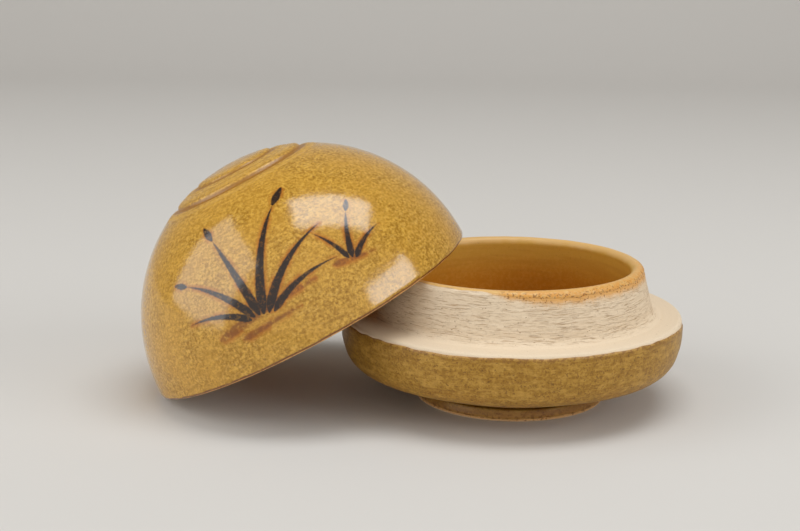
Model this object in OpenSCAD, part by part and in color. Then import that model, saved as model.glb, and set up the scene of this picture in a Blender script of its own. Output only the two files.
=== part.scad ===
// A small round box for incense, thrown in pale clay and glazed in ochre. The base has a low foot, a
// swelling belly, a flat ledge and a tall flange. The domed lid has a stepped crown and drops over the
// flange onto the ledge. Here the lid is off the box: its rim stands on the table and its inner edge
// leans on the lip of the base.
// Sizes are in millimetres. The origin is on the axis of the base, on the table under its foot.

/* [Belly] */
// Diameter of the clay across the belly
box_d = 67.3; // [62:0.1:72]
// Height of the widest part of the belly above the table
belly_h = 14.4; // [13:0.1:17]
// Radius of the curve of the side of the belly
belly_round = 11.6; // [9.5:0.1:14]
// Drop from the widest part of the belly to the centre of the curve of the heel
heel_drop = 2.7; // [1.5:0.1:4]
// Radius of the tighter curve of the heel, where the belly turns under
heel_round = 5.2; // [4:0.1:6]
// Height of the ledge above the widest part of the belly
ledge_rise = 3.1; // [2.2:0.1:4.5]
// Rounding of the outer edge of the ledge
ledge_round = 0.8; // [0.4:0.1:1.4]

/* [Foot] */
// Diameter of the clay of the foot at the table
foot_d = 37.4; // [33:0.1:42]
// Height of the foot up to the underside of the belly
foot_h = 2.9; // [2:0.1:4]
// How much the radius of the foot widens from its top to the table
foot_flare = 0.6; // [0:0.1:1]
// Rounding of the edge of the foot at the table
foot_round = 0.4; // [0.2:0.1:0.8]
// Radius of the tooled groove between the foot and the underside
neck_round = 0.7; // [0.6:0.1:1]
// Diameter of the hollow turned into the foot
recess_d = 28; // [22:0.5:30]
// Depth of the hollow turned into the foot
recess_depth = 1.2; // [0.8:0.1:2]
// Rounding inside the hollow of the foot
recess_round = 0.6; // [0.3:0.1:0.8]

/* [Flange] */
// Width of the ledge from the side of the belly in to the foot of the flange
ledge_w = 5.55; // [4.5:0.05:6.5]
// Height of the clay of the flange above the ledge
flange_h = 9.6; // [8:0.1:11]
// How much the radius of the flange narrows up to the lip
flange_taper = 2.1; // [1.2:0.1:2.8]
// Fillet between the flange and the ledge
flange_fillet = 1.2; // [0.6:0.1:1.6]
// Thickness of the rounded lip
lip_t = 2.5; // [1.8:0.1:3]

/* [Well] */
// Height of the clay floor of the well above the table
floor_h = 5.3; // [4.2:0.1:7]
// Thickness of the clay between the well and the foot of the flange
well_t = 3.6; // [2.8:0.1:4.5]
// Radius of the curve from the floor of the well into its wall
floor_round = 9.2; // [6:0.1:10]

/* [Lid] */
// How far the dome stands out past the side of the belly when the box is closed
lid_overhang = 0.25; // [0:0.05:1]
// Height of the centre of the dome above the rim
dome_rise = 0; // [0:0.1:2]
// Rounding of the outer edge of the rim
rim_round = 0.6; // [0.3:0.1:1]
// Gap all round between the lid and the foot of the flange when the box is closed
lid_play = 1; // [0.5:0.1:1.4]
// Rounding of the inner edge of the rim
mouth_round = 1.3; // [0.5:0.1:1.8]
// Height of the straight part of the inside of the lid
cavity_rise = 2; // [1:0.1:3]

/* [Crown] */
// Diameter of the raised crown of the lid
crown_d = 26.9; // [23:0.1:31]
// Height of the step up to the crown
crown_step = 0.05; // [0.05:0.05:0.5]
// Diameter of the cap on top of the crown
cap_d = 15.8; // [12:0.1:19]
// Height of the step up to the cap
cap_step = 0.05; // [0.05:0.05:0.5]
// How far the cap swells from its edge to its middle
cap_bulge = 0.9; // [0.5:0.05:1.2]
// Radius of the tool that cut the grooves at the foot of the two steps
groove_round = 1.3; // [0.9:0.05:1.6]
// Depth of those grooves
groove_depth = 0.45; // [0.3:0.05:0.6]

/* [Glaze] */
// Thickness of the glaze on the outside of the base and the lid
glaze_t = 0.35; // [0.2:0.05:0.5]
// Thickness of the glaze inside the base and the lid
inner_glaze_t = 0.2; // [0.1:0.05:0.4]
// Bare clay between the ledge and the top of the outer glaze of the base
ledge_bare = 0.6; // [0.4:0.1:1.2]
// Bare clay between the table and the bottom of the outer glaze of the base
foot_bare = 0.8; // [0.5:0.1:1.5]
// How far the inner glaze of the base runs down outside its lip
lip_run = 1; // [0.4:0.1:2]
// Bare clay between the rim and the outer glaze of the lid
rim_bare = 0.7; // [0.5:0.1:1.5]
// Bare clay between the rim and the inner glaze of the lid
mouth_bare = 1.5; // [1:0.1:3]

/* [Lean] */
// Distance from the side of the belly out to the middle of the rim of the leaning lid
lid_away = 6.15; // [4.5:0.05:10]
// Gap left between the lid and the lip that it leans on
lean_gap = 0.1; // [0.05:0.05:0.4]

/* [Hidden] */
$fn = 128;

clay_colour = "#E4D3B8";
lid_glaze_colour = "#BD8E40";
base_glaze_colour = "#A47C39";
inner_glaze_colour = "#93612A";

// How far a cutting shape reaches past what it cuts
over = 1;
// How far the end of a line reaches into the curve that it touches, so that the two merge cleanly
tuck = 0.002;

// Profiles are drawn with the radius from the axis as x and the height as y.
function unit(angle) = [cos(angle), sin(angle)];
function angle_of(v) = atan2(v.y, v.x);

// Direction square to a line from point p that touches the circle of radius r at c. The circle lies on the
// inner side of the line. Turn is -1 for a line that runs up to the circle and 1 for one that runs down.
function touch(p, c, r, turn) = unit(angle_of(c - p) + turn * acos(-r / norm(c - p)));

// Direction square to a line that passes between two circles and touches both
function cross_touch(c1, r1, c2, r2) = unit(angle_of(c2 - c1) - acos((r1 + r2) / norm(c2 - c1)));

// Centre of a small circle at height h that lies inside the circle of radius r at c and touches it
function nested(c, r, small_r, h) = [c.x + sqrt(pow(r - small_r, 2) - pow(h - c.y, 2)), h];

// Belly, underside and foot
box_r = box_d / 2;
ledge_h = belly_h + ledge_rise;
belly_c = [box_r - belly_round, belly_h];
edge_c = nested(belly_c, belly_round + tuck, ledge_round, ledge_h - ledge_round);
edge_dir = unit(angle_of(edge_c - belly_c));
heel_c = nested(belly_c, belly_round + tuck, heel_round, belly_h - heel_drop);
heel_dir = unit(angle_of(heel_c - belly_c));
foot_r = foot_d / 2;
neck = [foot_r - foot_flare, foot_h];
foot_c = [foot_r - foot_round, foot_round];
under_dir = touch(neck, heel_c, heel_round, -1);
foot_dir = touch(neck, foot_c, foot_round, 1);
recess_r = recess_d / 2;

// Flange, lip and well
flange_r = box_r - ledge_w;
flange_foot = [flange_r, ledge_h];
lip_r = lip_t / 2;
mouth_h = ledge_h + flange_h;
lip_c = [flange_r - flange_taper - lip_r, mouth_h - lip_r];
flange_dir = touch(flange_foot, lip_c, lip_r, -1);
fillet_c = flange_foot + [flange_fillet * (1 - flange_dir.y) / flange_dir.x, flange_fillet];
floor_c = [flange_r - well_t - floor_round, floor_h + floor_round];
well_dir = cross_touch(floor_c, floor_round, lip_c, lip_r);
well_up = [-well_dir.y, well_dir.x];

// Lid, in its own frame with the middle of the rim at the origin
lid_r = box_r + lid_overhang;
lid_d = 2 * lid_r;
dome_c = [0, dome_rise];
rim_c = nested(dome_c, lid_r + tuck, rim_round, rim_round);
rim_dir = unit(angle_of(rim_c - dome_c));
cavity_r = flange_r + lid_play;
crown_r = crown_d / 2;
cap_r = cap_d / 2;
crown_sphere_r = lid_r + crown_step;
function dome_h(x) = dome_rise + sqrt(pow(lid_r, 2) - pow(x, 2));
function crown_h(x) = dome_rise + sqrt(pow(crown_sphere_r, 2) - pow(x, 2));
cap_sphere_r = (pow(cap_r, 2) + pow(cap_bulge, 2)) / (2 * cap_bulge);
cap_c = [0, crown_h(cap_r) + cap_step + cap_bulge - cap_sphere_r];
groove_lift = groove_round - groove_depth;
groove_reach = sqrt(pow(groove_round, 2) - pow(groove_lift, 2));
crown_groove = [crown_r + groove_reach, dome_h(crown_r + groove_reach) + groove_lift];
cap_groove = [cap_r + groove_reach, crown_h(cap_r + groove_reach) + groove_lift];

lid_standoff = box_r + lid_away;

// The lean of the lid. Its rim stays on the table while it is lowered from lean_steep until its inner
// edge comes within lean_gap of the lip of the base.
lean_steep = 60;
lean_flat = 10;
lean_step = 1;
lean_halvings = 24;
edge_step = 1;
edge_reach = 90;

function rim_lift(tilt) = rim_c.x * sin(tilt) + rim_round * (1 - cos(tilt));

// Point on the inner edge of the leaning rim, at the middle of its rounding
function edge_point(turn, tilt) =
    let (r = cavity_r + mouth_round)
    [
        r * cos(turn) * cos(tilt) - mouth_round * sin(tilt) - lid_standoff,
        r * sin(turn),
        r * cos(turn) * sin(tilt) + mouth_round * cos(tilt) + rim_lift(tilt)
    ];
function lip_distance(p) = norm([norm([p.x, p.y]) - lip_c.x, p.z - lip_c.y]);
function lip_gap(tilt) =
    min([for (turn = [0:edge_step:edge_reach]) lip_distance(edge_point(turn, tilt))])
    - mouth_round - lip_r - inner_glaze_t;
function settle(low, high, left) =
    let (middle = (low + high) / 2)
    left == 0 ? high
    : lip_gap(middle) > lean_gap ? settle(low, middle, left - 1)
    : settle(middle, high, left - 1);

first_touch = [for (tilt = [lean_steep:-lean_step:lean_flat]) if (lip_gap(tilt) < lean_gap) tilt][0];
lean_tilt = settle(first_touch, first_touch + lean_step, lean_halvings);

module turned() {
    rotate_extrude() children();
}

module leaning() {
    translate([-lid_standoff, 0, rim_lift(lean_tilt)]) rotate([0, -lean_tilt, 0]) children();
}

// Outside of the belly, underside and foot, grown by the thickness of a coat
module base_outside(coat) {
    edge_touch_h = belly_h + (belly_round + coat) * edge_dir.y;
    heel_touch_h = belly_h + (belly_round + coat) * heel_dir.y;
    difference() {
        union() {
            intersection() {
                translate(belly_c) circle(belly_round + coat);
                translate([0, heel_touch_h]) square([box_r + coat, edge_touch_h - heel_touch_h]);
            }
            translate(edge_c) circle(ledge_round + coat);
            translate(heel_c) circle(heel_round + coat);
            polygon([
                [0, foot_h],
                neck + coat * under_dir,
                heel_c + (heel_round + coat - tuck) * under_dir,
                heel_c,
                edge_c,
                edge_c + [0, ledge_round + coat],
                [0, ledge_h + coat]
            ]);
            translate(foot_c) circle(foot_round + coat);
            polygon([
                [0, -coat],
                [foot_c.x, -coat],
                foot_c + (foot_round + coat - tuck) * foot_dir,
                neck + coat * foot_dir,
                [0, foot_h]
            ]);
        }
        translate(neck) circle(neck_round - coat);
    }
}

// Flange and lip, grown by the thickness of a coat
module base_flange(coat) {
    translate(lip_c) circle(lip_r + coat);
    polygon([
        [flange_r, belly_h],
        flange_foot + coat * flange_dir,
        lip_c + (lip_r + coat - tuck) * flange_dir,
        lip_c,
        lip_c - (lip_r + coat) * well_dir,
        floor_c
    ]);
}

module ledge_fillet() {
    flange_touch = fillet_c - flange_fillet * flange_dir;
    difference() {
        polygon([
            [lip_c.x, ledge_h - over],
            [fillet_c.x, ledge_h - over],
            fillet_c,
            flange_touch,
            [lip_c.x, flange_touch.y]
        ]);
        translate(fillet_c) circle(flange_fillet + tuck);
    }
}

// Space inside the base, narrowed by the thickness of a coat
module base_well(coat) {
    lip_touch = lip_c - (lip_r + coat - tuck) * well_dir;
    well_top = lip_touch + (lip_t + over) * well_up;
    translate(floor_c) circle(floor_round - coat);
    polygon([
        [0, floor_h + coat],
        [floor_c.x, floor_h + coat],
        floor_c + (floor_round - coat - tuck) * well_dir,
        well_top,
        [0, well_top.y]
    ]);
}

module foot_recess() {
    translate([recess_r - recess_round, recess_depth - recess_round]) circle(recess_round);
    translate([0, -over]) square([recess_r, recess_depth - recess_round + over]);
    translate([0, -over]) square([recess_r - recess_round, recess_depth + over]);
}

module base_clay() {
    difference() {
        union() {
            base_outside(0);
            base_flange(0);
            ledge_fillet();
        }
        base_well(0);
        foot_recess();
    }
}

// Outside of the lid with its two steps and their grooves, grown by the thickness of a coat
module lid_outside(coat) {
    rim_touch_h = dome_rise + (lid_r + coat) * rim_dir.y;
    difference() {
        union() {
            intersection() {
                translate(dome_c) circle(lid_r + coat);
                translate([0, rim_touch_h]) square([lid_r + coat, lid_d]);
            }
            translate(rim_c) circle(rim_round + coat);
            translate([0, -coat]) square([rim_c.x, rim_touch_h + coat]);
            intersection() {
                translate(dome_c) circle(crown_sphere_r + coat);
                translate([cap_r, 0]) square([crown_r + coat - cap_r, lid_d]);
            }
            intersection() {
                translate(cap_c) circle(cap_sphere_r + coat);
                square([cap_r + coat, lid_d]);
            }
        }
        translate(crown_groove) circle(groove_round - coat);
        translate(cap_groove) circle(groove_round - coat);
    }
}

// Space inside the lid, narrowed by the thickness of a coat
module lid_cavity(coat) {
    intersection() {
        translate([0, cavity_rise]) circle(cavity_r - coat);
        translate([0, cavity_rise]) square(cavity_r);
    }
    translate([0, -over]) square([cavity_r - coat, cavity_rise + over]);
}

module lid_mouth() {
    difference() {
        translate([0, -over]) square([cavity_r + mouth_round, mouth_round + over]);
        translate([cavity_r + mouth_round, mouth_round]) circle(mouth_round);
    }
}

module lid_clay() {
    difference() {
        lid_outside(0);
        lid_cavity(0);
        lid_mouth();
    }
}

module base_body() {
    color(clay_colour) turned() base_clay();
}

module base_outer_glaze() {
    color(base_glaze_colour) turned() intersection() {
        difference() {
            base_outside(glaze_t);
            base_outside(0);
        }
        translate([0, foot_bare]) square([box_r + glaze_t, ledge_h - ledge_bare - foot_bare]);
    }
}

module base_inner_glaze() {
    lip_line = mouth_h + inner_glaze_t - lip_run;
    color(inner_glaze_colour) turned() intersection() {
        difference() {
            union() {
                base_outside(0);
                base_flange(inner_glaze_t);
            }
            base_well(inner_glaze_t);
            base_clay();
            foot_recess();
        }
        union() {
            square([lip_c.x, mouth_h + over]);
            translate([0, lip_line]) square([flange_r + over, lip_run + over]);
        }
    }
}

module lid_body() {
    color(clay_colour) leaning() turned() lid_clay();
}

module lid_outer_glaze() {
    color(lid_glaze_colour) leaning() turned() intersection() {
        difference() {
            lid_outside(glaze_t);
            lid_outside(0);
        }
        translate([0, rim_bare]) square([lid_r + glaze_t, lid_d]);
    }
}

module lid_inner_glaze() {
    color(inner_glaze_colour) leaning() turned() intersection() {
        difference() {
            lid_cavity(0);
            lid_cavity(inner_glaze_t);
        }
        translate([0, mouth_bare]) square([cavity_r, lid_d]);
    }
}

base_body();
base_outer_glaze();
base_inner_glaze();
lid_body();
lid_outer_glaze();
lid_inner_glaze();
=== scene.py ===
# %% [markdown]
# # A small incense box, turned and glazed
# The box is two pieces of pale fired clay: a footed base and a domed lid. Each wears a coat of ochre
# glaze outside and a thin amber one inside. The lid is off and leans on the base.
# This lesson dresses the measured model of the box. The measured model is loaded first and never
# moved, and everything that is made here is laid over it in the same place and size.

import bpy
import numpy as np
from mathutils import Matrix, Vector


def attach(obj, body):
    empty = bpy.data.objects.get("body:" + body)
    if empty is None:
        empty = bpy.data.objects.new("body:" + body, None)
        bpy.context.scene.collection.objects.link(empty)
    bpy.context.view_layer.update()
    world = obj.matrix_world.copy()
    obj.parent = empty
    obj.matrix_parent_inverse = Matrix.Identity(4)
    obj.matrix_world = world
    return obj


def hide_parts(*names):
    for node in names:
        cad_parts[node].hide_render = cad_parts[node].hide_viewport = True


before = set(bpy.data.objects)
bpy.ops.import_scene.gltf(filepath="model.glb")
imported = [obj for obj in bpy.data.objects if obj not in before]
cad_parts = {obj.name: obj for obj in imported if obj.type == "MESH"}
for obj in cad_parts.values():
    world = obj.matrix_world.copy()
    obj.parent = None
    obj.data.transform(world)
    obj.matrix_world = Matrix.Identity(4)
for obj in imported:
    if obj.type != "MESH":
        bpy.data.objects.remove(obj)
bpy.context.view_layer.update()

# %% [markdown]
# ## How the lid leans
# The rim of the lid is its only flat face, so that face says which way the lid leans and where its
# middle is. We could type the angle in, but reading it from the model means that the new surfaces
# always land on the old ones. Each triangle has a normal and an area. The direction that collects
# the most area is the normal of the rim, and it points down, away from the dome.

# %% Measure the lean from the flat rim
MM = 0.001
TINY = 1e-15


def triangles(node):
    """Corners of the triangles of a node of the model, as an array of count by 3 by 3."""
    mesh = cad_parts[node].data
    mesh.calc_loop_triangles()
    corner = np.empty(len(mesh.loop_triangles) * 3, np.int32)
    mesh.loop_triangles.foreach_get("vertices", corner)
    place = np.empty(len(mesh.vertices) * 3, np.float32)
    mesh.vertices.foreach_get("co", place)
    return place.reshape(-1, 3)[corner].reshape(-1, 3, 3).astype(float)


lid_corners = triangles("lid_body")
doubled = np.cross(lid_corners[:, 1] - lid_corners[:, 0], lid_corners[:, 2] - lid_corners[:, 0])
area = np.linalg.norm(doubled, axis=1) / 2
facing = np.round(doubled / np.maximum(2 * area, TINY)[:, None], 3)
which = np.unique(facing, axis=0, return_inverse=True)[1].ravel()
on_rim = which == np.bincount(which, weights=area).argmax()
up = -doubled[on_rim].sum(0)
up /= np.linalg.norm(up)
side = np.cross((0, 1, 0), up)
rim_points = lid_corners[on_rim].reshape(-1, 3)
spread = rim_points @ side
middle = (spread.max() + spread.min()) / 2 * side + (rim_points @ up).mean() * up
lean = float(np.degrees(np.arctan2(-up[0], up[2])))
print("the lid leans", round(lean, 2), "degrees, middle of rim at", np.round(middle / MM, 2), "mm")

# %% [markdown]
# ## An outline as a belt round pulleys
# A potter's piece is a surface of revolution: one outline, spun about an axis. The outline here is
# made of arcs joined by straight lines that touch them, which is how a belt runs round pulleys. So an
# outline is a short list of pulleys: radius from the axis, height, and the radius of the pulley.
# A plus sign means that the belt bends round the outside of the clay, and a minus sign that it runs
# through a hollow. Between two pulleys the belt's normal makes an angle with the line of centres
# whose cosine is the difference of the radii over the distance. One formula covers every pair.
# A Bezier curve could draw the outline too, but its roundings couldn't be given as radii.

# %% The belt
DOWN, UP = -np.pi / 2, np.pi / 2
ARC_POINTS = 60
TURN = np.radians(9)


def belt(pulleys, first_normal, last_normal, spacing):
    """Points along a belt round a row of pulleys, with their normals.

    The straight run from pulley i to pulley j leaves along the normal n for which n . (cj - ci) is
    ri - rj. On a pulley the normal sweeps from one run to the next. Samples are closer where the
    belt bends: their number grows by one for each spacing of length and each 9 degrees of turn.
    """
    centre = np.array([p[:2] for p in pulleys], float)
    radius = np.array([p[2] for p in pulleys], float)
    step = np.diff(centre, axis=0)
    ratio = np.clip((radius[:-1] - radius[1:]) / np.hypot(*step.T), -1, 1)
    run = np.arctan2(step[:, 1], step[:, 0]) - np.arccos(ratio)
    enter, leave = np.r_[first_normal, run], np.r_[run, last_normal]
    hand = np.where(radius < 0, -1.0, 1.0)
    slack = 0.2
    sweep = hand * ((hand * (leave - enter) + slack) % (2 * np.pi) - slack)
    angle = enter[:, None] + sweep[:, None] * np.linspace(0, 1, ARC_POINTS)
    point = centre[:, None] + radius[:, None, None] * np.stack([np.cos(angle), np.sin(angle)], -1)
    angle, point = np.unwrap(angle.ravel()), point.reshape(-1, 2)
    length = np.hypot(*np.diff(point, axis=0).T)
    pace = length / spacing(*point[1:].T) + np.abs(np.diff(angle)) / TURN
    walked = np.r_[0, np.cumsum(pace + 1e-9)]
    stops = np.linspace(0, walked[-1], int(np.ceil(walked[-1])) + 1)
    columns = {"s": np.r_[0, np.cumsum(length)], "r": point[:, 0], "z": point[:, 1], "n": angle}
    return {name: np.interp(stops, walked, column) for name, column in columns.items()}


quarter = belt([(0, 0, 10)], 0, UP, lambda r, z: 1.0)
print("a quarter turn round a pulley of 10 mm is", round(quarter["s"][-1], 2), "mm long")

# %% [markdown]
# ## The outline of the base
# Sizes are in millimetres, as a potter would give them. The base starts in the middle of the hollow
# under its foot, goes out round the foot, up the belly, in over the ledge, up the flange, over the lip
# and down to the floor of the well. A tool has cut a fine line above the foot. Its two edges are
# pulleys that touch the circle of the tool, so they are given by a direction from its centre.

# %% Pulleys of the base
HOLLOW, FLOOR, LEDGE, MOUTH = 1.2, 5.3, 17.5, 27.1
CORNER, FILLET, LIP, CRISP = 0.8, 2.1, 1.25, 0.12
neck = (18.1, 2.9, -0.7)


def beside(groove, degrees, rounding):
    """Pulley that rounds an edge of a groove. Its centre lies in a direction from the centre of the
    groove, as far off as the two radii together."""
    apart = abs(groove[2]) + rounding
    turn = np.radians(degrees)
    return groove[0] + apart * np.cos(turn), groove[1] + apart * np.sin(turn), rounding


base_pulleys = [
    (0, HOLLOW, 0), (13.4, HOLLOW - 0.6, -0.6), (14.15, 0.15, 0.15),   # hollow under the foot
    (18.3, 0.4, 0.4), beside(neck, -84.8, CRISP),                      # foot
    neck, beside(neck, 27.2, CRISP),                                   # tooled line above the foot
    (27.8, 11.7, 5.2), (21.92, 14.4, 11.6),                            # heel and side of the belly
    (32.82, LEDGE - CORNER, CORNER), (29.74, LEDGE + FILLET, -FILLET),  # ledge and foot of the flange
    (24.75, MOUTH - LIP, LIP), (15.3, 14.5, -9.2), (0, FLOOR, 0),      # lip, curve of the floor, middle
]


def base_spacing(r, z):
    """Samples are 0.3 mm apart on the bare flange, where turning lines show, and 0.9 mm elsewhere."""
    on_flange = (r > 24) & (z > LEDGE - 0.1)
    return np.where(on_flange, 0.3, 0.9)


base_line = belt(base_pulleys, DOWN, UP, base_spacing)
print("outline of the base:", len(base_line["s"]), "points,", round(base_line["s"][-1], 1), "mm long")

# %% [markdown]
# ## The outline of the lid
# The lid starts at the top of its inside, comes down to the rim and climbs the dome. Its crown is
# three spheres, each a hair prouder than the last, with a groove cut round the second and the third.
# The groove is a circle of the tool that cut it. Where a groove meets a sphere, melted glaze has
# rounded the edge, so a small pulley lies inside the sphere and outside the groove, and touches both.

# %% Spheres and grooves of the crown
DOME, CROWN, CAP = 33.9, 13.45, 7.9
STEP, BULGE = 0.05, 0.9
TOOL, DEPTH, SOFT = 1.3, 0.45, 0.9


def height_on(sphere, r):
    """Height of a sphere at a distance r from the axis: its centre plus the root of R squared less
    r squared."""
    return sphere[1] + np.sqrt(sphere[2] ** 2 - r**2)


def groove_round(sphere, inner):
    """Pulley of a tool that cuts a groove into a sphere, outwards from an inner edge. The tool's
    centre stands above the surface by its radius less the depth of the cut."""
    lift = TOOL - DEPTH
    r = inner + np.sqrt(TOOL**2 - lift**2)
    return r, height_on(sphere, r) + lift, -TOOL


def groove_edge(sphere, groove, outer):
    """Pulley that rounds the edge of a groove in a sphere. It lies inside the circle of the sphere
    and touches it, and it touches the circle of the groove from outside. There are two such places,
    and outer picks the one that is further from the axis."""
    c, g = np.array(sphere[:2]), np.array(groove[:2])
    far, near = sphere[2] - SOFT, abs(groove[2]) + SOFT
    gap = np.hypot(*(g - c))
    along = (far**2 - near**2 + gap**2) / (2 * gap)
    off = np.sqrt(far**2 - along**2)
    ahead = (g - c) / gap
    out = np.array([ahead[1], -ahead[0]])
    return (*(c + along * ahead + (off if outer else -off) * out), SOFT)


dome, crown = (0, 0, DOME), (0, 0, DOME + STEP)
cap_radius = (CAP**2 + BULGE**2) / (2 * BULGE)
cap = (0, height_on(crown, CAP) + STEP + BULGE - cap_radius, cap_radius)
outer_groove, inner_groove = groove_round(dome, CROWN), groove_round(crown, CAP)
print("grooves at", np.round([outer_groove[0], inner_groove[0]], 2), "mm from the axis")

# %% Pulleys of the lid
RIM_ROUND, MOUTH_ROUND = 0.6, 1.3
rim_radius = np.sqrt((DOME - RIM_ROUND) ** 2 - RIM_ROUND**2)
lid_pulleys = [
    (0, 2, -29.1), (30.4, MOUTH_ROUND, MOUTH_ROUND),                   # hollow and inner edge of the rim
    (rim_radius, RIM_ROUND, RIM_ROUND), dome,                          # outer edge of the rim and dome
    groove_edge(dome, outer_groove, True), outer_groove, groove_edge(crown, outer_groove, False), crown,
    groove_edge(crown, inner_groove, True), inner_groove, groove_edge(cap, inner_groove, False), cap,
]


def lid_spacing(r, z):
    """Samples are 0.7 mm apart all along the lid."""
    return np.full(np.shape(r), 0.7)


lid_line = belt(lid_pulleys, DOWN, UP, lid_spacing)
print("outline of the lid:", len(lid_line["s"]), "points, top at", round(lid_line["z"].max(), 2), "mm")

# %% [markdown]
# ## Spinning an outline
# A lathe turns an outline into rings of vertices. Here all the rings are one array: rows go along the
# outline, columns go round the axis. Where the outline meets the axis, one vertex closes the ring
# with a fan, so no hole is left. Blender's Screw modifier could spin a curve too, but an array lets
# each vertex carry numbers that the finishes read later. Two of them are places in millimetres before
# the lean: its own place, and the same place with the arc length along the outline for its height, so
# that lines of the wheel run round a flat ledge as well as round a wall.

# %% The lathe
COLUMNS = 320
THETA = np.arange(COLUMNS) * 2 * np.pi / COLUMNS


def put(mesh, name, value):
    """Stores one number or one vector for each vertex of a mesh."""
    value = np.asarray(value, np.float32).reshape(len(mesh.vertices), -1)
    kind, field = ("FLOAT", "value") if value.shape[1] == 1 else ("FLOAT_VECTOR", "vector")
    mesh.attributes.new(name, kind, "POINT").data.foreach_set(field, value.ravel())


def lathe(name, s, r, z, place, numbers, closed):
    """Spins rows of radius and height: row i, column j goes to (r cos t, r sin t, z).

    Quads join neighbours both ways. Unless the path is closed, its first and last rows lie on the
    axis and become single vertices with fans.
    """
    grid = np.arange(r.size).reshape(r.shape)
    if closed:
        index, low, high = grid, grid, np.roll(grid, -1, 0)
    else:
        index = np.clip(grid - COLUMNS + 1, 0, r.size - 2 * COLUMNS + 1)
        index[0] = 0
        low, high = index[:-1], index[1:]
    first = np.unique(index, return_index=True)[1]
    quads = np.stack([low, np.roll(low, -1, 1), np.roll(high, -1, 1), high], -1).reshape(-1, 4)
    start, end = quads[:, 0] == quads[:, 1], quads[:, 2] == quads[:, 3]
    faces = (quads[~(start | end)].tolist() + quads[start][:, [0, 2, 3]].tolist()
             + quads[end][:, [0, 1, 2]].tolist())
    x, y = r * np.cos(THETA), r * np.sin(THETA)
    own = np.stack([x, y, z], -1).reshape(-1, 3)[first]
    mesh = bpy.data.meshes.new(name)
    mesh.from_pydata(place(own), [], faces)
    mesh.polygons.foreach_set("use_smooth", np.ones(len(faces), bool))
    put(mesh, "own", own)
    put(mesh, "spun", np.stack([x, y, s], -1).reshape(-1, 3)[first])
    for key, value in numbers.items():
        put(mesh, key, np.broadcast_to(value, r.shape).ravel()[first])
    piece = bpy.data.objects.new(name, mesh)
    bpy.context.scene.collection.objects.link(piece)
    print(name, len(mesh.vertices), "vertices,", len(faces), "faces")
    return piece


# %% [markdown]
# ## Where a piece stands
# The base stands upright on the table, so its own frame is the scene's. The lid is spun upright too,
# and then leant over. Turning the object would do it as well. Only the places of its vertices are
# leant, so the object itself stays at the origin and unturned, and the numbers that its finish reads
# stay upright.

# %% Two ways to place


def upright(own):
    """Millimetres to metres."""
    return own * MM


def leaning(own):
    """The middle of the rim, plus steps along the side, the depth and the axis of the leaning lid."""
    return middle + MM * (own @ np.array([side, (0, 1, 0), up]))


lid_top = np.array([0, 0, lid_line["z"].max()])
print("the middle of the crown is at", np.round(leaning(lid_top) / MM, 1), "mm")

# %% [markdown]
# ## Clay from the wheel
# Fingers leave a faint spiral of ridges on thrown clay. A bump in the finish could fake them, but the
# outline would stay too perfect, so they are worked into the shape, and only inwards, which keeps the
# size of the measured model. They fade out where the clay stands on the table, and at the axis, where
# the rings close.

# %% Marks of the wheel
PITCH, RIDGE, SWAY = 1.4, 0.012, 0.02
WAVES = np.arange(1, 61)


def wander(theta, seed, size, rough=1.0):
    """A wavy line round the pot: cosines of 1 to 60 waves a turn, whose heights fall as the number
    of waves to the power rough, scaled to a usual height of size."""
    dice = np.random.default_rng(seed)
    height = dice.normal(size=len(WAVES)) / WAVES**rough
    line = np.cos(np.multiply.outer(theta, WAVES) + dice.uniform(0, 2 * np.pi, len(WAVES))) @ height
    return size * line / np.sqrt((height**2).sum() / 2)


def at(line, s, name):
    """Value of one column of an outline at arc lengths s."""
    return np.interp(s, line["s"], line[name])


def ridges(line, s, seed):
    """Dents along the normal: a spiral of sines of one pitch, and a slow sway of two waves a turn.
    Both grow from 0.4 to 1.9 mm above the foot or the rim, and over the first 3 mm from the axis."""
    spiral = 2 * np.pi * s / PITCH - THETA + wander(THETA, seed, 0.6)
    dent = RIDGE * (1 + np.sin(spiral)) + SWAY * (1 + np.sin(2 * THETA + seed))
    fade = np.clip((at(line, s, "z") - 0.4) / 1.5, 0, 1) * np.clip(at(line, s, "r") / 3, 0, 1)
    return -dent * fade


def shifted(line, s, move):
    """Radius and height at arc lengths s, moved along the normal of the outline."""
    n = at(line, s, "n")
    return np.maximum(at(line, s, "r") + move * np.cos(n), 0), at(line, s, "z") + move * np.sin(n)


def spin_clay(name, line, seed, place, numbers):
    """A clay body: the whole outline with its ridges, spun from axis to axis."""
    s = line["s"][:, None] + 0 * THETA
    r, z = shifted(line, s, ridges(line, s, seed))
    r[0] = r[-1] = 0
    return lathe(name, s, r, z, place, numbers(s), False)


BASE_SEED, LID_SEED = 11, 23
deepest = -ridges(base_line, base_line["s"][:, None], BASE_SEED).min()
print("the deepest dent of the wheel is", round(float(deepest), 3), "mm")

# %% [markdown]
# ## Where the glaze ends
# Glaze is dipped or poured, so its edge is a line made by hand. It wanders a little, and the molten
# glaze draws itself up into a rounded bead there. A painted mask could end its colour, but not its
# thickness. So each edge is an arc length on the outline, found from the height at which the coat
# stops.

# %% Find the glaze edges
FOOT_BARE, LEDGE_BARE, LIP_WRAP, MOUTH_BARE, RIM_BARE = 0.6, 0.6, 0.9, 1.5, 0.3


def crossing(line, height, after, before):
    """Arc length where the outline first passes a height, between two arc lengths."""
    part = (line["s"] >= after) & (line["s"] <= before)
    s, h = line["s"][part], line["z"][part] - height
    k = np.flatnonzero(h[:-1] * h[1:] <= 0)[0]
    return s[k] + (s[k + 1] - s[k]) * h[k] / (h[k] - h[k + 1] + 1e-12)


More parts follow.
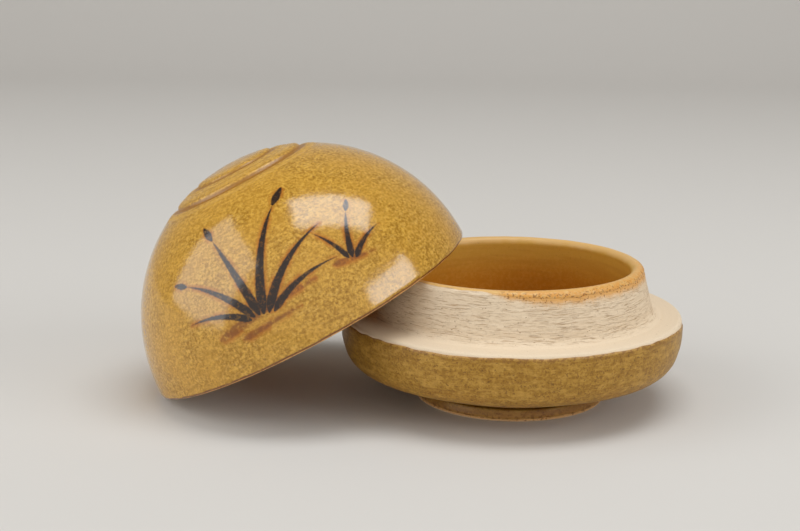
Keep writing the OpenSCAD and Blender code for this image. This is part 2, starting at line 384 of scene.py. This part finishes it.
foot_low = base_line["s"][base_line["z"].argmin()]
lip_top = base_line["s"][base_line["z"].argmax()]
foot_edge = crossing(base_line, FOOT_BARE, foot_low, lip_top)
ledge_edge = crossing(base_line, LEDGE - LEDGE_BARE, foot_edge, lip_top)
lip_edge = crossing(base_line, MOUTH - LIP_WRAP, ledge_edge, lip_top)
rim_flat = lid_line["s"][lid_line["z"] < 0.01]
mouth_edge = crossing(lid_line, MOUTH_BARE, 0, rim_flat.min())
rim_edge = crossing(lid_line, RIM_BARE, rim_flat.max(), lid_line["s"][-1])
print("edges of the glaze at", np.round([foot_edge, ledge_edge, lip_edge, mouth_edge, rim_edge], 2),
      "mm along the outlines")

# %% [markdown]
# ## Coats of glaze
# A coat is a thin closed skin. Its free side lies a third of a millimetre out from the clay, or about
# half of that inside the box, and curves down to it in a bead. Its other side lies a hair inside the
# clay, so no gap shows. Solidify could thicken a surface too, but it can't taper to a wandering edge.
# Each vertex also notes how far it is from the edge of the coat and from the middle of the nearest
# groove, where glaze pools.

# %% The coat
HAIR = 0.03
FAR = 99.0
BEAD_ROWS = 7


def spin_coat(name, line, start, stop, thick, bead, seed, place, grooves=(), numbers=None):
    """A coat over an outline between two wandering edges, or from the axis where an edge is None.

    Rows follow the outline and crowd at a free edge. They slide with the wandering edge by a share
    that falls by e each 2 mm. Free side: thick times a quarter round of width bead at each edge.
    """
    low = np.zeros(COLUMNS) if start is None else start
    high = np.full(COLUMNS, line["s"][-1]) if stop is None else stop
    crowd = bead * (1 - np.cos(np.linspace(0, np.pi / 2, BEAD_ROWS + 1)[:-1]))
    begin = line["s"][:1] if start is None else low.mean() + crowd
    ending = line["s"][-1:] if stop is None else high.mean() - crowd[::-1]
    between = line["s"][(line["s"] > begin[-1] + 0.1) & (line["s"] < ending[0] - 0.1)]
    plain = np.r_[begin, between, ending][:, None]
    s = plain + np.exp((low.mean() - plain) / 2) * (low - low.mean())
    s = s + np.exp((plain - high.mean()) / 2) * (high - high.mean())
    edge = np.minimum(FAR if start is None else s - low, FAR if stop is None else high - s)
    rise = np.sqrt(np.clip(1 - (1 - np.clip(edge / bead, 0, 1)) ** 2, 0, 1))
    dents = ridges(line, s, seed)
    free, under = shifted(line, s, dents + thick * rise), shifted(line, s, dents - HAIR)
    sides = ((s, s), (edge, edge), (free[0], under[0]), (free[1], under[1]))
    s, edge, r, z = (np.r_[back[::-1], front] for front, back in sides)
    if start is None:
        s, edge, r, z = (np.roll(row, -len(dents), 0) for row in (s, edge, r, z))
    closed = start is not None and stop is not None
    if not closed:
        r[0] = r[-1] = 0
    groove = np.full(r.shape, FAR)
    for middle_r, middle_z, _ in grooves:
        groove = np.minimum(groove, np.hypot(r - middle_r, z - middle_z))
    more = numbers(r, z) if numbers else {}
    return lathe(name, s, r, z, place, {"edge": edge, "groove": groove, **more}, closed)


# %% [markdown]
# ## The base
# The base is bare on its flange and ledge, where a lid would stick if they were glazed. The amber coat
# of the well folds over the lip, and fire has flashed the clay orange below it at the front right. At
# the left the coat stops on top of the lip. The glaze of the belly dips a little at the right end of
# the ledge. The flash is a number on the clay and on the coat, because both finishes have to agree on
# where it is.

# %% Clay of the base
FRONT_RIGHT = np.radians(-45)
warmth = np.clip(3 * np.cos(THETA - FRONT_RIGHT) - 1.5 + wander(THETA, 6, 0.1, 0.5), 0, 1)
lip_wander = lip_edge + 1.0 - 1.1 * warmth + wander(THETA, 4, 0.12, 0.3)


def base_flash(s):
    """Warmth of the clay: falls by e in 0.2 mm to a little over 1 mm below the edge of the lip's
    glaze, and in 0.5 mm from the glaze of the foot."""
    reach = 0.2 + 0.7 * warmth + np.abs(wander(THETA, 5, 0.25, 0.4)) * warmth
    lip = (0.3 + 0.7 * warmth) * np.exp(-np.maximum(lip_wander - s, 0) / reach) * (s > ledge_edge + 3)
    return {"flash": np.maximum(lip, 0.8 * np.exp(-np.abs(s - foot_edge) / 0.5))}


base_clay = spin_clay("base_clay", base_line, BASE_SEED, upright, base_flash)

# %% Coats of the base
right_end = np.clip(np.cos(THETA), 0, 1) ** 16
foot_wander = foot_edge + wander(THETA, 2, 0.06, 0.4)
ledge_wander = ledge_edge - 0.8 * right_end + wander(THETA, 3, 0.09, 0.3)


def well_flash(r, z):
    """The same warmth all along the coat of the well."""
    return {"flash": warmth + 0 * r}


belly_coat = spin_coat("belly_coat", base_line, foot_wander, ledge_wander, thick=0.3, bead=0.6,
                       seed=BASE_SEED, place=upright, grooves=[neck])
well_coat = spin_coat("well_coat", base_line, lip_wander, None, thick=0.13, bead=1.0,
                      seed=BASE_SEED, place=upright, numbers=well_flash)

# %% [markdown]
# ## The lid
# The dome is glossy and carries a brush drawing. A flat sheet can't be wrapped on a dome without
# stretching, so the drawing has its own coordinates: distance and direction from one point on the
# front of the dome, in millimetres, as on a round map. Near that point they are true in every
# direction. Each vertex also notes how deep it lies below the sphere of the glazed dome.

# %% Clay of the lid


def rim_flash(s):
    """Toasted clay: falls by e each half millimetre from the glaze on the rim."""
    return {"flash": 1.1 * np.exp(-np.abs(s - rim_edge) / 0.5)}


lid_clay = spin_clay("lid_clay", lid_line, LID_SEED, leaning, rim_flash)

# %% Coats of the lid
MAP_LEAN = np.radians(52)  # from the top of the dome down its front
MAP_RADIUS, GLAZED_DOME = 34, 34.2


def round_map(r, z):
    """Millimetres across and up from the middle of the drawing: the radius times the angle from that
    point, along the direction of its tangents. Also the depth below the sphere of the dome."""
    ray = np.stack([r * np.cos(THETA), r * np.sin(THETA), z], -1)
    ray = ray / np.linalg.norm(ray, axis=-1, keepdims=True)
    ahead = np.array([0, -np.sin(MAP_LEAN), np.cos(MAP_LEAN)])
    across, rise = np.array([1.0, 0, 0]), np.array([0, np.cos(MAP_LEAN), np.sin(MAP_LEAN)])
    angle = np.arccos(np.clip(ray @ ahead, -1, 1))
    scale = MAP_RADIUS * angle / np.maximum(np.sin(angle), 1e-6)
    return {"across": scale * (ray @ across), "rise": scale * (ray @ rise),
            "sunk": GLAZED_DOME - np.hypot(r, z)}


def no_flash(r, z):
    """The hollow of the lid has no flash."""
    return {"flash": 0 * r}


rim_wander = rim_edge + wander(THETA, 7, 0.04, 0.2)
mouth_wander = mouth_edge + wander(THETA, 8, 0.2, 0.6)
dome_coat = spin_coat("dome_coat", lid_line, rim_wander, None, thick=0.31, bead=0.5, seed=LID_SEED,
                      place=leaning, grooves=[outer_groove, inner_groove], numbers=round_map)
hollow_coat = spin_coat("hollow_coat", lid_line, None, mouth_wander, thick=0.18, bead=0.5,
                        seed=LID_SEED, place=leaning, numbers=no_flash)

# %% [markdown]
# ## Writing finishes as sums
# A finish is a small tree of nodes. Written out link by link, it hides what it does, so a wire here
# can be added, multiplied and raised to a power like a number, and each sign adds the node for it.
# Everything that isn't plain arithmetic comes from one method that takes the type of a node.

# %% The wire


class Wire:
    """One output socket of a shader tree, with arithmetic."""

    def __init__(self, tree, socket):
        self.tree, self.socket = tree, socket

    def node(self, kind, settings, sockets, out=0):
        """Adds a node of any kind: settings are set first, then sockets are filled or linked."""
        made = self.tree.nodes.new(kind)
        for key, value in settings.items():
            setattr(made, key, value)
        for key, value in sockets.items():
            if isinstance(value, Wire):
                self.tree.links.new(value.socket, made.inputs[key])
            else:
                made.inputs[key].default_value = value
        return Wire(self.tree, made.outputs[out])

    def math(self, operation, a, b=0.0):
        """One Math node on two values."""
        return self.node("ShaderNodeMath", {"operation": operation}, {0: a, 1: b})

    # Each sign adds one Math node. The reflected forms let a number stand first, as in 1 - mask.
    def __add__(self, other):
        return self.math("ADD", self, other)

    def __sub__(self, other):
        return self.math("SUBTRACT", self, other)

    def __rsub__(self, other):
        return self.math("SUBTRACT", other, self)

    def __mul__(self, other):
        return self.math("MULTIPLY", self, other)

    def __pow__(self, other):
        return self.math("POWER", self, other)

    def __abs__(self):
        return self.math("ABSOLUTE", self)

    __radd__, __rmul__ = __add__, __mul__

    def ramp(self, low, high):
        """A soft step from 0 at low to 1 at high. If low is above high, it falls instead."""
        return self.node("ShaderNodeMapRange", {"interpolation_type": "SMOOTHSTEP"},
                         {0: self, 1: low, 2: high, 3: 0.0, 4: 1.0})

    def tint(self, colour, other):
        """Mixes two colours, with this wire as the share of the second."""
        return self.node("ShaderNodeMix", {"data_type": "RGBA"}, {0: self, 6: colour, 7: other}, 2)

    def stretch(self, x, y, z):
        """This vector, multiplied part by part."""
        return self.node("ShaderNodeVectorMath", {"operation": "MULTIPLY"}, {0: self, 1: (x, y, z)})

    def height(self):
        """The third part of this vector."""
        return self.node("ShaderNodeSeparateXYZ", {}, {0: self}, 2)

    def noise(self, scale, detail=2.0, rough=0.5):
        """Cloudy noise around 0.5 at this vector, with so many clouds a millimetre."""
        return self.node("ShaderNodeTexNoise", {}, {"Vector": self, "Scale": scale, "Detail": detail,
                                                    "Roughness": rough})

    def cells(self, scale):
        """Distance to the nearest of scattered points at this vector, in cells."""
        return self.node("ShaderNodeTexVoronoi", {}, {"Vector": self, "Scale": scale})

    def bump(self, depth):
        """A normal that is shaded as if the surface rose by this wire times so many millimetres."""
        return self.node("ShaderNodeBump", {}, {"Height": self, "Distance": depth * MM, "Strength": 1.0})


# %% [markdown]
# ## Starting a finish
# Each finish starts from a new material and reads the numbers that the lathe left on the vertices.
# Its colour is built as a glaze is: a ground, and tints laid over it one after the other, each with a
# share between 0 and 1. Colours are written as a screen shows them, because that is how we pick them.

# %% Helpers of a finish


def finish_named(name):
    """A new material: its shader, and a function that gives a wire for a vertex number by name."""
    material = bpy.data.materials.new(name)
    material.use_nodes = True
    tree = material.node_tree
    shader = tree.nodes["Principled BSDF"]

    def number(key, out="Fac"):
        """A number that each vertex carries, or a vector if out says so."""
        return Wire(tree, None).node("ShaderNodeAttribute", {"attribute_name": key}, {}, out)

    return material, shader, number


def fill(shader, **sockets):
    """Sets or links sockets of the shader, with _ for a space in a name."""
    for key, value in sockets.items():
        socket = shader.inputs[key.replace("_", " ")]
        if isinstance(value, Wire):
            value.tree.links.new(value.socket, socket)
        else:
            socket.default_value = value


def hue(red, green, blue):
    """A colour as a screen shows it, 0 to 255, turned to the light that a shader counts in."""
    part = np.array([red, green, blue]) / 255
    light = np.where(part > 0.04045, ((part + 0.055) / 1.055) ** 2.4, part / 12.92)
    return (*(float(v) for v in light), 1.0)


def layered(ground, layers):
    """Lays tints over a ground colour, in order. Each layer is a wire for its share, and a colour."""
    for share, colour in layers:
        ground = share.tint(ground, colour)
    return ground


print("a grey of 188 on a screen is", round(hue(188, 188, 188)[0], 2), "of full light")

# %% [markdown]
# ## Bare clay
# Fired without glaze, the clay is a dry cream, rough to the touch. A tool has dragged fine lines
# round it, torn by grains of sand into short ticks and small pits. The lines are noise stretched round
# the pot: squeezed along the outline, so that each speck becomes a streak. A wave texture could rule
# lines too, but they would be too even. Only the peaks of the noise become dark lines, and the lines
# fade out on the flat ledge, which was wiped smooth.

# %% Pattern of the bare clay
bisque, shader, number = finish_named("bare_clay")
own, spun, warm = number("own", "Vector"), number("spun", "Vector"), number("flash")
sway = (own.noise(0.4, 2) - 0.5) * 0.4
combed = spun.node("ShaderNodeVectorMath", {"operation": "ADD"},
                   {0: spun, 1: sway.node("ShaderNodeCombineXYZ", {}, {2: sway})})
wall = own.height().ramp(LEDGE - 0.08, LEDGE + 0.6)
drag = combed.stretch(0.3, 0.3, 3).noise(1.0, 3, 0.6)
lines = combed.stretch(0.3, 0.3, 6).noise(1.0, 2, 0.6).ramp(0.57, 0.65) * wall
marks = combed.stretch(1.0, 1.0, 7).noise(1.0, 2, 0.6).ramp(0.58, 0.68) * wall
ticks = combed.stretch(1.3, 1.3, 3).noise(1.2, 1, 0.5).ramp(0.72, 0.76) * wall
sand = own.noise(4, 3, 0.6)
pits = own.cells(0.8).ramp(0.14, 0.09) * own.noise(0.5).ramp(0.55, 0.62)
dots = own.noise(2.3, 1).ramp(0.6, 0.67)
blush = (warm * 1.15 + (sand - 0.5) * 0.6 * warm.ramp(0, 0.25)).ramp(0.1, 0.8)
print("pattern of the bare clay:", len(bisque.node_tree.nodes), "nodes")

# %% Finish of the bare clay
clay = layered(hue(226, 205, 176), [
    (drag.ramp(0.62, 0.4) * wall * 0.6, hue(214, 190, 158)),     # broad drag of the tool
    (sand.ramp(0.52, 0.66) * 0.25, hue(196, 174, 143)),          # grains of sand
    (marks * 0.3, hue(186, 158, 124)),                           # short marks
    (lines * 0.5, hue(162, 118, 74)),                            # turning lines
    (ticks * 0.7, hue(134, 98, 64)),                             # torn ticks
    (pits * 0.5, hue(158, 128, 96)),                             # small pits
    (blush * 0.9, hue(218, 160, 84)),                            # flash of the fire
    (warm.ramp(0.3, 0.5) * dots * 0.65, hue(114, 58, 12)),       # iron dots in the flash
])
relief = drag * 0.35 + sand * 0.2 - lines * 0.7 - marks * 0.45 - pits * 0.8 - ticks * 0.5
fill(shader, Base_Color=clay, Roughness=0.85 - 0.2 * blush, Specular_IOR_Level=0.25,
     Normal=relief.bump(0.06))
print("bare clay:", len(bisque.node_tree.nodes), "nodes")

# %% [markdown]
# ## Glaze of the belly
# The same ochre glaze is thinner and satin here, peppered with fine brown specks of iron, and faint
# streaks of the wheel show through it. It turns reddish towards the heel and paler on the foot,
# darkens in the tooled line above the foot, and breaks into small dots along the ledge. One noise
# could speckle it all over, but the specks gather in clumps, so a broader noise sets how strong the
# finer one is.

# %% Pattern of the belly
belly, shader, number = finish_named("belly_glaze")
own, spun = number("own", "Vector"), number("spun", "Vector")
edge, groove, low = number("edge"), number("groove"), own.height()
streak = spun.stretch(0.13, 0.13, 2.2).noise(1.0, 3, 0.6)
clump = spun.stretch(0.35, 0.35, 0.8).noise(1.0, 3, 0.65)
cloud = own.noise(0.16, 2)
mottle = own.noise(1.2, 3, 0.65)
pepper = own.noise(2.7, 2, 0.6)
fleck = own.noise(1.7, 1)
print("pattern of the belly:", len(belly.node_tree.nodes), "nodes")

# %% Finish of the belly
ochre = layered(hue(154, 110, 28), [
    (streak.ramp(0.36, 0.64), hue(171, 128, 44)),                                     # wheel streaks
    (mottle.ramp(0.47, 0.66) * 0.5, hue(196, 152, 66)),                               # pale mottling
    (mottle.ramp(0.5, 0.34) * 0.35, hue(126, 88, 20)),                                # dark mottling
    (low.ramp(11, 4) * cloud.ramp(0.35, 0.6) * 0.45, hue(164, 102, 34)),              # reddish heel
    (clump.ramp(0.52, 0.36) * 0.45, hue(204, 160, 74)),                               # between clumps
    (pepper.ramp(0.5, 0.66) * (0.2 + 0.45 * clump.ramp(0.36, 0.6)), hue(112, 68, 14)),  # iron specks
    (fleck.ramp(0.64, 0.72) * 0.5, hue(84, 48, 12)),                                  # larger specks
    (low.ramp(2.6, 1.0) * 0.5, hue(178, 124, 56)),                                    # pale foot
    (groove.ramp(1.1, 0.6) * 0.35, hue(110, 72, 20)),                                 # tooled line
    (edge.ramp(0.45, 0.0) * 0.6, hue(196, 152, 92)),                                  # thin edge
    (edge.ramp(1.5, 0.2) * mottle.ramp(0.46, 0.58) * 0.65, hue(112, 66, 22)),         # dots at the ledge
])
fill(shader, Base_Color=ochre, Roughness=0.34 + 0.2 * mottle, Specular_IOR_Level=0.4,
     Normal=(mottle * 0.5 + streak * 0.6 + pepper * 0.4).bump(0.03))
print("glaze of the belly:", len(belly.node_tree.nodes), "nodes")

# %% [markdown]
# ## Glaze of the well and the hollow
# Inside, the coat is a smooth amber, painted darker away from the lip as shade that deepens down the
# well. It thins over the lip, where the clay shows through: tan at the back and the left, orange with
# brown dots at the front right.
# A painted map could hold these zones, but the distance from the edge of the coat already tells them
# apart, so the finish reads that number.

# %% Finish of the insides
amber, shader, number = finish_named("inner_glaze")
own, spun = number("own", "Vector"), number("spun", "Vector")
edge, warm = number("edge"), number("flash")
mottle = own.noise(1.4, 3, 0.6)
rings = spun.stretch(0.08, 0.08, 1.1).noise(1.0, 2, 0.5)
fleck = own.noise(2.4, 1)
flashed = edge.ramp(2.4, 0.8) * warm.ramp(0.2, 0.8) * mottle.ramp(0.34, 0.58)
dotted = edge.ramp(1.3, 0.4) * warm.ramp(0.3, 0.8) * fleck.ramp(0.56, 0.62)
honey = layered(hue(204, 157, 62), [
    # painted shade: the first tint darkens the amber away from the lip, down the well
    (edge.ramp(3, 11), hue(190, 125, 26)),                       # deeper away from the lip
    (mottle.ramp(0.4, 0.66) * 0.25, hue(214, 164, 76)),          # pale mottling
    (rings.ramp(0.45, 0.65) * 0.2, hue(176, 116, 34)),           # rings of the wheel
    (fleck.ramp(0.68, 0.75) * 0.2, hue(120, 70, 24)),            # few specks
    (edge.ramp(2.8, 1.3) * 0.8, hue(220, 177, 114)),             # thin on the lip
    (flashed * 0.9, hue(214, 150, 66)),                          # flash of the fire
    (dotted * 0.65, hue(116, 60, 12)),                           # iron dots in the flash
])
fill(shader, Base_Color=honey, Roughness=0.34 + 0.16 * mottle, Specular_IOR_Level=0.4,
     Normal=(mottle * 0.5 + rings * 0.6).bump(0.02))
print("glaze of the insides:", len(amber.node_tree.nodes), "nodes")

# %% [markdown]
# ## A brush drawing
# Iron pigment under the glaze makes a drawing that is nearly black where the brush was full, and that
# bleeds to rust at its edges. The drawing here is two plain tufts of reeds. A picture could be laid on
# the dome, but strokes worked out as distances stay sharp at any size. A stroke is a bent line with a
# width: the distance from its middle line, less the width at that point, says how far inside the
# stroke a point lies. A little noise frays that distance, as a dry brush does.

# %% Strokes on the round map


def stroke(across, rise, fray, x, y, heading, length, bend, width, tip, swell=0.12):
    """Distance outside one stroke, in millimetres, less than zero inside it.

    In the frame of the stroke, its middle line is a parabola that leaves the heading by bend at the
    tip. Its half width swells over a share of the length, and falls to zero as 1 - u to the power tip.
    """
    c, s = float(np.cos(np.radians(heading))), float(np.sin(np.radians(heading)))
    u = (across - x) * (c / length) + (rise - y) * (s / length)
    off = (rise - y) * c - (across - x) * s - u * u * bend
    inside = u.node("ShaderNodeClamp", {}, {0: u, 1: 0.0, 2: 1.0})
    half = (1 - inside) ** tip * inside.ramp(-0.5 * swell, swell) * width
    beyond = abs(u - inside) * (2.0 * length)
    return abs(off) + beyond + fray - half


def nearest(distances):
    """The least of several distances, which joins the strokes."""
    joined = distances[0]
    for other in distances[1:]:
        joined = joined.math("MINIMUM", joined, other)
    return joined


def head_on(reed, length, width):
    """A short stroke at the tip of a reed, along the way that the tip points."""
    x, y, heading, reach, bend = reed[:5]
    c, s = np.cos(np.radians(heading)), np.sin(np.radians(heading))
    ahead = heading + np.degrees(np.arctan2(2 * bend, reach))
    return (x + reach * c - bend * s, y + reach * s + bend * c, ahead, length, 0.0, width, 0.45, 0.5)


# %% Reeds, heads and earth
# Each row is a root across and up, a heading in degrees, a length, a bend, a half width and a tip.
reeds = [
    (-1.0, -13.0, 97, 18.0, 1.5, 1.05, 0.6), (-0.2, -13.2, 76, 21.0, -3.5, 1.15, 0.6),
    (-2.0, -13.0, 118, 16.0, 3.8, 0.95, 0.7), (0.8, -13.4, 56, 19.0, -5.0, 1.05, 0.7),
    (-2.8, -13.2, 140, 13.0, 3.8, 0.85, 0.7), (1.8, -13.6, 36, 15.0, -4.2, 0.85, 0.7),
    (19.0, -9.0, 86, 10.0, -1.2, 0.8, 0.6), (19.7, -9.2, 58, 9.0, -2.2, 0.75, 0.7),
    (18.3, -9.0, 114, 8.0, 1.8, 0.7, 0.7),
]
heads = [head_on(reeds[0], 4.2, 1.0), head_on(reeds[1], 4.6, 1.1), head_on(reeds[2], 3.6, 0.9),
         head_on(reeds[6], 3.0, 0.8)]
earth = [(-10.5, -13.6, 4, 22.0, 1.2, 1.0, 0.4), (-6.0, -15.6, 2, 13.0, 0.6, 0.7, 0.5),
         (15.0, -9.6, 4, 9.0, 0.6, 0.7, 0.5)]
print("drawing:", len(reeds), "reeds,", len(heads), "seed heads,", len(earth), "strokes of earth")

# %% [markdown]
# ## Glaze of the dome
# The dome is glossy. Its ochre is mottled in short streaks of about a millimetre that lie round it as
# the wheel turned, over grains of half a millimetre. It is dark amber where it pools in the grooves,
# paler where it runs thin over their edges, and burnt brown in a thin line along the rim. A clear coat
# over a flat colour would gleam too evenly. Slight waves in the glaze make the edges of the reflected
# lamps ragged.

# %% Pattern of the dome
dome_finish, shader, number = finish_named("dome_glaze")
own, spun = number("own", "Vector"), number("spun", "Vector")
edge, groove, sunk = number("edge"), number("groove"), number("sunk")
across, rise = number("across"), number("rise")
mottle = spun.stretch(0.6, 0.6, 1.6).noise(1.0, 4, 0.7)
weave = spun.stretch(0.35, 0.35, 2.4).noise(1.0, 2, 0.5)
grain = own.noise(1.8, 3, 0.65)
cloud = own.noise(0.14, 2, 0.5)
fleck = own.noise(2.2, 1)
dry = own.noise(1.1, 3, 0.7)
bleed = 0.3 + 0.7 * own.noise(0.3, 2).ramp(0.42, 0.56)
fray = (own.noise(2.2, 3, 0.7) - 0.5) * 0.5
dark = nearest([stroke(across, rise, fray, *row) for row in reeds + heads])
rust = nearest([stroke(across, rise, fray, *row) for row in earth])
print("pattern of the dome:", len(dome_finish.node_tree.nodes), "nodes")

# %% Finish of the dome
gold = layered(hue(152, 105, 8), [
    (grain.ramp(0.34, 0.66), hue(212, 163, 62)),                                      # grains
    (mottle.ramp(0.5, 0.66) * 0.45, hue(150, 104, 14)),                               # dark streaks
    (mottle.ramp(0.49, 0.33) * 0.45, hue(214, 169, 80)),                              # pale streaks
    (weave.ramp(0.5, 0.66) * 0.4, hue(160, 116, 26)),                                 # wheel lines
    (cloud.ramp(0.4, 0.62) * 0.3, hue(202, 149, 48)),                                 # broad clouds
    (fleck.ramp(0.68, 0.74) * 0.5, hue(112, 68, 14)),                                 # iron specks
    (sunk.ramp(0.06, 0.42) * 0.85, hue(146, 93, 2)),                                  # pools in grooves
    (groove.ramp(1.7, 2.1) * groove.ramp(3.0, 2.2) * 0.35, hue(210, 162, 66)),        # thin groove edges
    (edge.ramp(0.5, 0.15) * mottle.ramp(0.66, 0.56), hue(108, 56, 18)),               # burnt rim
    (nearest([dark, rust]).ramp(0.9, -0.1) * bleed * 0.85, hue(170, 98, 10)),         # bleeding pigment
    (rust.ramp(0.2, -0.3) * dry.ramp(0.3, 0.55) * 0.75, hue(116, 60, 8)),             # strokes of earth
    (dark.ramp(0.12, -0.22) * (0.8 + 0.2 * dry.ramp(0.34, 0.5)), hue(36, 18, 2)),     # reeds and heads
])
satin, wave = groove.ramp(3.6, 2.0), own.noise(0.4, 2)
fill(shader, Base_Color=gold, Roughness=0.08 + 0.08 * mottle + 0.25 * satin, Specular_IOR_Level=0.7,
     Normal=(mottle * 1.1 + grain * 0.6 + wave * 2.5).bump(0.012))
print("glaze of the dome:", len(dome_finish.node_tree.nodes), "nodes")

# %% [markdown]
# ## Put the pieces together
# Each new piece rides on the body that carries it, so it moves with the lid or stays with the base.
# It stands in for the part of the measured model that it covers, which is hidden, and takes its finish.

# %% Bodies, nodes and slots
for piece, body, node, slot, finish in (
    (base_clay, "base", "base_body", "bare_clay", bisque),
    (belly_coat, "base", "base_outer_glaze", "base_glaze", belly),
    (well_coat, "base", "base_inner_glaze", "inner_glaze", amber),
    (lid_clay, "lid", "lid_body", "bare_clay", bisque),
    (dome_coat, "lid", "lid_outer_glaze", "lid_glaze", dome_finish),
    (hollow_coat, "lid", "lid_inner_glaze", "inner_glaze", amber),
):
    piece.data.materials.append(finish)
    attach(piece, body)
    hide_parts(node)
    print(piece.name, "rides on", body, "for", node)

# %% [markdown]
# ## The table and its sweep
# A plain pale sheet lies under the box and sweeps up behind it, as in a small photo studio. Two flat
# planes could do, but a corner would show. The sweep is a quarter circle, so none does. Two rows of
# points near the box keep the shading of the floor level there.

# %% Floor and backdrop
HALF_WIDTH, SWEEP_START, SWEEP, TOP = 12.0, 0.6, 0.5, 2.2
UNDER = 0.00003
turn = np.linspace(0, np.pi / 2, 24)
depth = np.r_[-HALF_WIDTH, -0.5, 0.0, SWEEP_START + SWEEP * np.sin(turn), SWEEP_START + SWEEP]
level = np.r_[0, 0, 0, SWEEP - SWEEP * np.cos(turn), TOP] - UNDER
ends = np.array([[-HALF_WIDTH, HALF_WIDTH]])
sheet = np.stack(np.broadcast_arrays(ends, depth[:, None], level[:, None]), -1)
grid = np.arange(sheet.shape[0] * 2).reshape(-1, 2)
strips = np.stack([grid[:-1, 0], grid[:-1, 1], grid[1:, 1], grid[1:, 0]], -1)
floor_mesh = bpy.data.meshes.new("floor")
floor_mesh.from_pydata(sheet.reshape(-1, 3), [], strips.tolist())
floor_mesh.polygons.foreach_set("use_smooth", np.ones(len(strips), bool))
floor = bpy.data.objects.new("floor", floor_mesh)
bpy.context.scene.collection.objects.link(floor)
paper, shader = finish_named("pale_sheet")[:2]
fill(shader, Base_Color=hue(210, 205, 198), Roughness=0.9)
floor_mesh.materials.append(paper)
print("floor of", len(strips), "strips")

# %% [markdown]
# ## Light
# Three soft boxes give the three pale patches on the dome: one overhead, a tall one at the left, and a
# slim one at the right. Each is placed by the direction that it lights from, and turned about that
# direction until its patch on the dome is square to the view. Their light is slightly cool, like
# daylight from a window. The room itself is a soft white, brighter in front of the box, where the
# onlooker stands, so that the front isn't in shade. A single sun lamp would be simpler, but its
# shadow would be hard and its patch on the dome a dot.

# %% Lamps
LOOK = Vector((-0.0221, -0.00217, 0.02634))
DAYLIGHT = (0.92, 0.96, 1.0)


def axes_toward(azimuth, elevation, roll):
    """Three axes of something that looks from a direction: right, up and back. Azimuth is counted
    from the front, plus to the right. Roll turns right towards up."""
    a, e, t = np.radians([azimuth, elevation, roll])
    back = Vector((np.sin(a) * np.cos(e), -np.cos(a) * np.cos(e), np.sin(e)))
    across_view = Vector((np.cos(a), np.sin(a), 0))
    raised = back.cross(across_view)
    return (np.cos(t) * across_view + np.sin(t) * raised,
            np.cos(t) * raised - np.sin(t) * across_view, back)


def aimed(azimuth, elevation, roll, distance):
    """Matrix of something that looks at the middle of the box from a direction and a distance."""
    axes = axes_toward(azimuth, elevation, roll)
    return Matrix.Translation(LOOK + distance * axes[2]) @ Matrix(axes).transposed().to_4x4()


for name, azimuth, elevation, roll, distance, width, length, power in (
    ("overhead", 68, 80, -50, 0.7, 0.54, 0.3, 2.5),
    ("left", -72, 23, -8, 0.8, 0.7, 0.72, 3.1),
    ("right", 66, 25, 15, 0.8, 0.55, 0.2, 1.7),
):
    lamp = bpy.data.lights.new(name, "AREA")
    lamp.shape, lamp.size, lamp.size_y, lamp.energy = "RECTANGLE", width, length, power
    lamp.color = DAYLIGHT
    holder = bpy.data.objects.new(name, lamp)
    holder.matrix_world = aimed(azimuth, elevation, roll, distance)
    bpy.context.scene.collection.objects.link(holder)
    print("lamp", name, "of", power, "watts")

# %% Room
BACK_LIGHT, FRONT_LIGHT = 0.25, 0.45
world = bpy.data.worlds.new("room")
bpy.context.scene.world = world
world.use_nodes = True
sky = Wire(world.node_tree, None).node("ShaderNodeTexCoord", {}, {}, "Generated")
front = sky.node("ShaderNodeSeparateXYZ", {}, {0: sky}, 1).ramp(0.2, -0.8)
fill(world.node_tree.nodes["Background"], Color=(1, 1, 1, 1), Strength=BACK_LIGHT + FRONT_LIGHT * front)
bpy.context.scene.view_settings.view_transform = "Standard"
print("room of strength", BACK_LIGHT, "behind and", BACK_LIGHT + FRONT_LIGHT, "in front")

# %% [markdown]
# ## Camera
# The camera stands a little above the box and almost straight in front of it, close enough that
# near things look larger. A longer lens from further off would flatten the box. Its sensor is the
# usual 36 mm wide, and the lens is as long as the box needs to fill the picture.

# %% Camera
SENSOR, LENS, NEAR = 36, 68.2155, 0.01
camera_data = bpy.data.cameras.new("camera")
camera_data.sensor_width, camera_data.lens, camera_data.clip_start = SENSOR, LENS, NEAR
camera = bpy.data.objects.new("camera", camera_data)
camera.matrix_world = aimed(azimuth=4.08, elevation=12.72, roll=0.37, distance=0.3)
bpy.context.scene.collection.objects.link(camera)
bpy.context.scene.camera = camera
print("camera at", [round(v, 3) for v in camera.matrix_world.translation])
